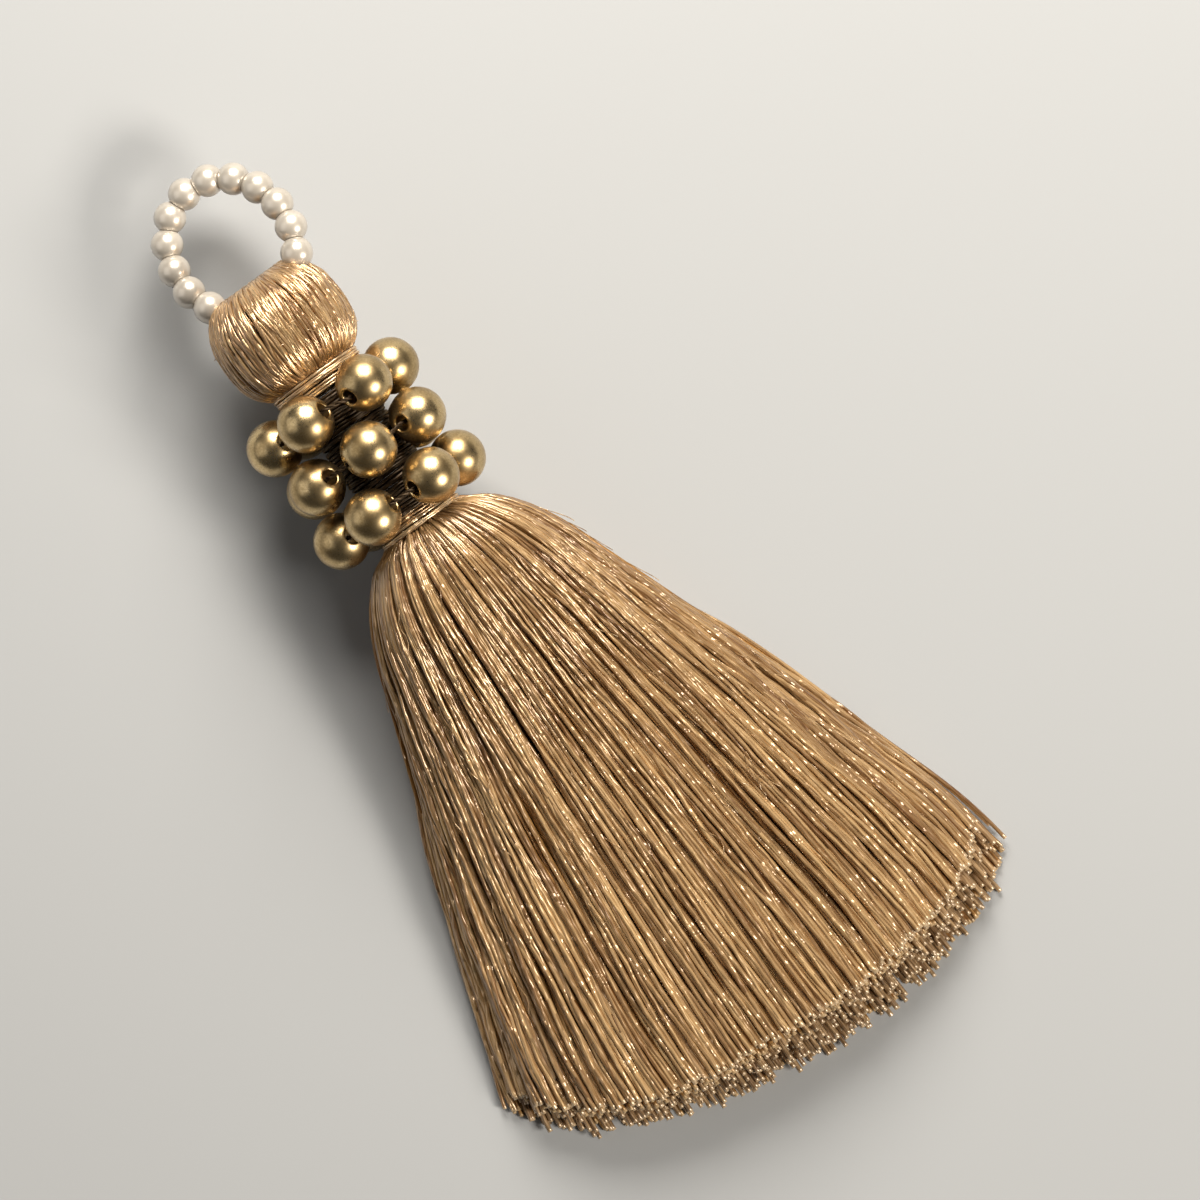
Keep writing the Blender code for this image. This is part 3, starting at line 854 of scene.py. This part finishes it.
def attribute(nodes, name):
    """The values that a mesh carries under a name."""
    made = nodes.new("ShaderNodeAttribute")
    made.attribute_name = name
    return made.outputs["Fac"]


def noise(nodes, links, vector, scale, detail):
    """A cloudy pattern between 0 and 1."""
    made = nodes.new("ShaderNodeTexNoise")
    made.inputs["Scale"].default_value = scale
    made.inputs["Detail"].default_value = detail
    links.new(vector, made.inputs["Vector"])
    return made.outputs["Fac"]


def relief(nodes, links, shader, height, distance, strength=1.0):
    """Bumps on the surface, a distance high where the height is 1, and the normal that they make."""
    bump = nodes.new("ShaderNodeBump")
    bump.inputs["Strength"].default_value = strength
    bump.inputs["Distance"].default_value = distance
    links.new(height, bump.inputs["Height"])
    links.new(bump.outputs["Normal"], shader.inputs["Normal"])
    return bump.outputs["Normal"]


def silk_material(name, dark, light, frayed_tip_and_highlight, roughness, metallic, slubs, ply_height, lustre, streaks):
    """Glossy silk thread, lighter or darker by its tint, with slubs, plies and fibres as relief."""
    made, nodes, links, shader = new_material(name)
    tint = attribute(nodes, "tint")
    cut = attribute(nodes, "frayed_tip_and_highlight")
    uv = nodes.new("ShaderNodeUVMap")
    uv.uv_map = "thread"
    split = nodes.new("ShaderNodeSeparateXYZ")
    links.new(uv.outputs["UV"], split.inputs[0])
    along, around = split.outputs["X"], split.outputs["Y"]
    start = maths(nodes, links, "MULTIPLY", tint, TINT_SHIFT)

    # Slubs: here and there the thread swells for about a millimetre, and that catches the light
    stretch = nodes.new("ShaderNodeCombineXYZ")
    links.new(maths(nodes, links, "MULTIPLY", along, SLUB_PACE), stretch.inputs["X"])
    links.new(start, stretch.inputs["Y"])
    slub = noise(nodes, links, stretch.outputs[0], 1.0, 0.0)
    swelling = nodes.new("ShaderNodeMapRange")
    swelling.interpolation_type = "SMOOTHSTEP"
    swelling.inputs["From Min"].default_value = SWELLING_FROM
    swelling.inputs["From Max"].default_value = SWELLING_FULL
    links.new(slub, swelling.inputs["Value"])

    # Plies: two low ridges that wind round the thread
    winding = maths(nodes, links, "MULTIPLY_ADD", along, PLY_TWIST, start)
    winding = maths(nodes, links, "MULTIPLY_ADD", around, PLIES * 2 * math.pi, winding)
    ply = maths(nodes, links, "SINE", winding)

    # Fibres: fine streaks side by side
    place = nodes.new("ShaderNodeCombineXYZ")
    links.new(maths(nodes, links, "MULTIPLY", along, streaks), place.inputs["X"])
    links.new(maths(nodes, links, "MULTIPLY", around, FIBRES_ROUND), place.inputs["Y"])
    links.new(start, place.inputs["Z"])
    fibres = noise(nodes, links, place.outputs[0], 1.0, 1.0)

    height = maths(nodes, links, "MULTIPLY", swelling.outputs[0], SWELLING_HEIGHT * slubs)
    height = maths(nodes, links, "MULTIPLY_ADD", slub, SLUB_HEIGHT * slubs, height)
    height = maths(nodes, links, "MULTIPLY_ADD", ply, ply_height, height)
    height = maths(nodes, links, "MULTIPLY_ADD", fibres, FIBRE_HEIGHT, height)
    normal = relief(nodes, links, shader, height, 1.0 * MM)

    share = maths(nodes, links, "MULTIPLY_ADD", tint, TINT_LIGHTNESS, LIGHTNESS)
    share = maths(nodes, links, "MULTIPLY_ADD", fibres, FIBRE_LIGHTNESS, share)
    colour = mixed(nodes, links, share, dark, light)
    # At a thread's cut tip the colour turns paler: the frayed end, with a painted highlight.
    colour = mixed(nodes, links, cut, colour, frayed_tip_and_highlight)
    links.new(colour, shader.inputs["Base Color"])
    smoothest = roughness - FIBRE_ROUGHNESS / 2
    rough = maths(nodes, links, "MULTIPLY_ADD", fibres, FIBRE_ROUGHNESS, smoothest)
    links.new(rough, shader.inputs["Roughness"])
    links.new(maths(nodes, links, "MULTIPLY_ADD", cut, -metallic, metallic), shader.inputs["Metallic"])
    shader.inputs["Specular IOR Level"].default_value = 0.9
    shader.inputs["Specular Tint"].default_value = (1.0, 0.82, 0.58, 1.0)
    shader.inputs["Coat Weight"].default_value = lustre
    shader.inputs["Coat IOR"].default_value = 1.8
    shader.inputs["Coat Roughness"].default_value = 0.31
    links.new(normal, shader.inputs["Coat Normal"])
    return made


def dark_silk_material():
    """The shaded threads inside the skirt: streaks down the skirt, dark and dull."""
    made, nodes, links, shader = new_material("silk_in_shade")
    place = nodes.new("ShaderNodeTexCoord").outputs["Object"]
    stretched = nodes.new("ShaderNodeMapping")
    stretched.inputs["Scale"].default_value = (3000, 120, 3000)
    links.new(place, stretched.inputs["Vector"])
    streaks = noise(nodes, links, stretched.outputs[0], 1.0, 3.0)
    colour = mixed(nodes, links, streaks, (0.032, 0.011, 0.002), (0.12, 0.048, 0.010))
    links.new(colour, shader.inputs["Base Color"])
    shader.inputs["Roughness"].default_value = 0.6
    relief(nodes, links, shader, streaks, 0.2 * MM)
    return made


def brass_material():
    """Old brass: polished where it is touched, with a darker bloom and small dents."""
    made, nodes, links, shader = new_material("old_brass")
    place = nodes.new("ShaderNodeTexCoord").outputs["Object"]
    bloom = noise(nodes, links, place, 420.0, 4.0)
    grain = noise(nodes, links, place, 5200.0, 2.0)
    share = nodes.new("ShaderNodeMapRange")
    share.inputs["From Min"].default_value = 0.58
    share.inputs["From Max"].default_value = 0.94
    links.new(maths(nodes, links, "MULTIPLY_ADD", grain, 0.5, bloom), share.inputs["Value"])
    colour = mixed(nodes, links, share.outputs[0], (0.67, 0.510, 0.275), (0.36, 0.250, 0.115))
    links.new(colour, shader.inputs["Base Color"])
    shader.inputs["Metallic"].default_value = 1.0
    rough = maths(nodes, links, "MULTIPLY_ADD", share.outputs[0], 0.10, 0.23)
    rough = maths(nodes, links, "MULTIPLY_ADD", grain, 0.08, rough)
    links.new(rough, shader.inputs["Roughness"])
    height = maths(nodes, links, "MULTIPLY_ADD", grain, 0.3, bloom)
    relief(nodes, links, shader, height, 0.018 * MM, strength=0.35)
    return made


def pearl_material():
    """Small pearls: white with a warm lustre under a clear coat."""
    made, nodes, links, shader = new_material("pearl")
    place = nodes.new("ShaderNodeTexCoord").outputs["Object"]
    cloud = noise(nodes, links, place, 500.0, 3.0)
    colour = mixed(nodes, links, cloud, (0.49, 0.44, 0.375), (0.62, 0.57, 0.50))
    links.new(colour, shader.inputs["Base Color"])
    links.new(maths(nodes, links, "MULTIPLY_ADD", cloud, 0.10, 0.28), shader.inputs["Roughness"])
    shader.inputs["Specular IOR Level"].default_value = 0.8
    shader.inputs["Metallic"].default_value = 0.45
    shader.inputs["Coat Weight"].default_value = 0.8
    shader.inputs["Coat Roughness"].default_value = 0.14
    relief(nodes, links, shader, cloud, 0.02 * MM, strength=0.2)
    return made


def loop_thread_material():
    """The thread through the pearls: dull cream, streaked along its length."""
    made, nodes, links, shader = new_material("loop_thread")
    place = nodes.new("ShaderNodeTexCoord").outputs["Object"]
    streaks = noise(nodes, links, place, 2600.0, 3.0)
    colour = mixed(nodes, links, streaks, (0.48, 0.38, 0.25), (0.72, 0.63, 0.48))
    links.new(colour, shader.inputs["Base Color"])
    shader.inputs["Roughness"].default_value = 0.5
    relief(nodes, links, shader, streaks, 0.04 * MM)
    return made


SILKS = (
    # name, dark, light and cut tip (paler frayed silk with a painted highlight),
    # roughness, metallic, slubs, height of the plies in mm, lustre, streaks a mm
    ("silk", (0.145, 0.055, 0.010), (0.61, 0.40, 0.185), (0.60, 0.45, 0.28),
     0.34, 0.38, 1.0, 0.013, 0.92, 0.12),
    # The under silk is the top silk made darker and duller: painted shade for the threads under the top
    # layer and on the floor.
    ("shaded_under_silk", (0.14, 0.049, 0.008), (0.44, 0.24, 0.075), (0.50, 0.36, 0.20),
     0.42, 0.35, 1.0, 0.012, 0.18, 0.16),
    # The cut silk is darker than the top silk: painted shade for the cut face under the top layer.
    ("shaded_cut_silk", (0.15, 0.070, 0.024), (0.52, 0.34, 0.17), (0.52, 0.38, 0.23),
     0.36, 0.30, 0.5, 0.012, 1.0, 0.4),
    ("head_silk", (0.19, 0.070, 0.011), (0.70, 0.46, 0.21), (0.5, 0.4, 0.3),
     0.28, 0.66, 0.6, 0.010, 1.0, 0.35),
    # The winding silk is lighter than the skirt's silk: painted light for the lit windings under the
    # head and at the root.
    ("lit_winding_silk", (0.40, 0.21, 0.075), (0.90, 0.69, 0.41), (0.5, 0.4, 0.3),
     0.28, 0.70, 0.9, 0.012, 1.0, 0.4),
    ("shaded_silk", (0.006, 0.0026, 0.001), (0.020, 0.009, 0.003), (0.1, 0.1, 0.1),
     0.45, 0.6, 1.0, 0.012, 0.05, 0.4),
    # The bead thread is near-black: painted shade, so that the beads' mouths read dark.
    ("bead_thread", (0.012, 0.006, 0.003), (0.04, 0.022, 0.010), (0.1, 0.1, 0.1),
     0.50, 0.6, 0.3, 0.012, 0.0, 0.4),
)


# Camera, light and floor

PHOTO_SIZE = 1200
PHOTO_SCALE = 11.5 / MM  # pixels a metre
PHOTO_ROOT = (419.9, 520.7)  # where the neck's root is in the frame
AXIS_TURN = math.radians(35.88)  # the skirt hangs this far right of straight down
CAMERA_HEIGHT = 0.9
FILM_WIDTH = 36.0
FLOOR_SIZE = 1.5
FLOOR_DROP = 0.02 * MM  # so that it doesn't touch the threads that lie on it
FLOOR_COLOUR = (0.365, 0.375, 0.385, 1)
ALL_ROUND_COLOUR = (1.0, 0.95, 0.89, 1)
ALL_ROUND_STRENGTH = 0.04


def look_at(thing, place, target, up):
    """Stands a camera or light at a place, facing the target."""
    away = (Vector(place) - Vector(target)).normalized()
    right = Vector(up).cross(away).normalized()
    turned_to = Matrix((right, away.cross(right), away)).transposed().to_4x4()
    thing.matrix_world = Matrix.Translation(place) @ turned_to


def build_camera():
    """A long lens straight above, turned so that the skirt points down and to the right."""
    c, s = math.cos(AXIS_TURN), math.sin(AXIS_TURN)
    right, up = Vector((c, -s, 0)), Vector((s, c, 0))
    shift_right = (PHOTO_SIZE / 2 - PHOTO_ROOT[0]) / PHOTO_SCALE
    shift_up = (PHOTO_ROOT[1] - PHOTO_SIZE / 2) / PHOTO_SCALE
    middle = Vector((AXIS_X, ROOT_Y, AXIS_HEIGHT)) + right * shift_right + up * shift_up
    data = bpy.data.cameras.new("camera")
    data.sensor_width = FILM_WIDTH
    data.lens = FILM_WIDTH * CAMERA_HEIGHT * PHOTO_SCALE / PHOTO_SIZE
    data.clip_start, data.clip_end = 0.01, 10
    camera = bpy.data.objects.new("camera", data)
    bpy.context.scene.collection.objects.link(camera)
    look_at(camera, middle + Vector((0, 0, CAMERA_HEIGHT)), middle, up)
    bpy.context.scene.camera = camera
    return middle


def add_light(name, middle, direction, distance, size, power, colour):
    """A square softbox that stands in a direction from the tassel's middle."""
    data = bpy.data.lights.new(name, "AREA")
    data.size = size
    data.energy = power
    data.color = colour
    light = bpy.data.objects.new(name, data)
    bpy.context.scene.collection.objects.link(light)
    nearly_up = (0.01, 0.02, 1)
    look_at(light, middle + Vector(direction).normalized() * distance, middle, nearly_up)


def build_stage():
    """A pale floor just under the tassel, and a faint warm light from all round."""
    data = bpy.data.meshes.new("floor")
    grid = bmesh.new()
    bmesh.ops.create_grid(grid, x_segments=1, y_segments=1, size=FLOOR_SIZE)
    grid.to_mesh(data)
    grid.free()
    floor = bpy.data.objects.new("floor", data)
    floor.location = (0, 0, -FLOOR_DROP)
    bpy.context.scene.collection.objects.link(floor)
    finish, _, _, shader = new_material("floor")
    shader.inputs["Base Color"].default_value = FLOOR_COLOUR
    shader.inputs["Roughness"].default_value = 0.8
    shader.inputs["Specular IOR Level"].default_value = 0.2
    data.materials.append(finish)

    world = bpy.data.worlds.new("world")
    world.use_nodes = True
    background = world.node_tree.nodes["Background"]
    background.inputs["Color"].default_value = ALL_ROUND_COLOUR
    background.inputs["Strength"].default_value = ALL_ROUND_STRENGTH
    bpy.context.scene.world = world
    bpy.context.scene.view_settings.view_transform = "Standard"


LIGHTS = (
    # name, direction, distance, size, power, colour
    ("key_light", (0.43, 0.67, 0.60), 0.34, 0.205, 2.4, (1.0, 0.94, 0.85)),
    ("second_light", (0.42, -0.64, 0.64), 0.6, 0.17, 3.7, (1.0, 0.93, 0.83)),
    ("side_light", (-0.70, 0.51, 0.51), 0.6, 0.50, 0.60, (1.0, 0.97, 0.93)),
)


def main():
    """Camera, lights and floor, then the pieces. The loop's thread only changes its material."""
    middle = build_camera()
    build_stage()
    for name, direction, distance, size, power, colour in LIGHTS:
        add_light(name, middle, direction, distance, size, power, colour)

    silks = {name: silk_material(name, *values) for name, *values in SILKS}
    build_skirt(silks, dark_silk_material())
    build_head(silks["head_silk"])

    chance = np.random.default_rng(SEED + 3)
    build_head_fuzz(chance, silks["silk"])
    for name, table, turns, silk, slot, replaced in WINDINGS:
        build_windings(chance, name, table, turns, silks[silk], replaced)

    build_beads(brass_material(), silks["bead_thread"])
    build_pearls(pearl_material())
    loop_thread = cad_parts["loop_thread"]
    loop_thread.data.materials.clear()
    loop_thread.data.materials.append(loop_thread_material())


main()
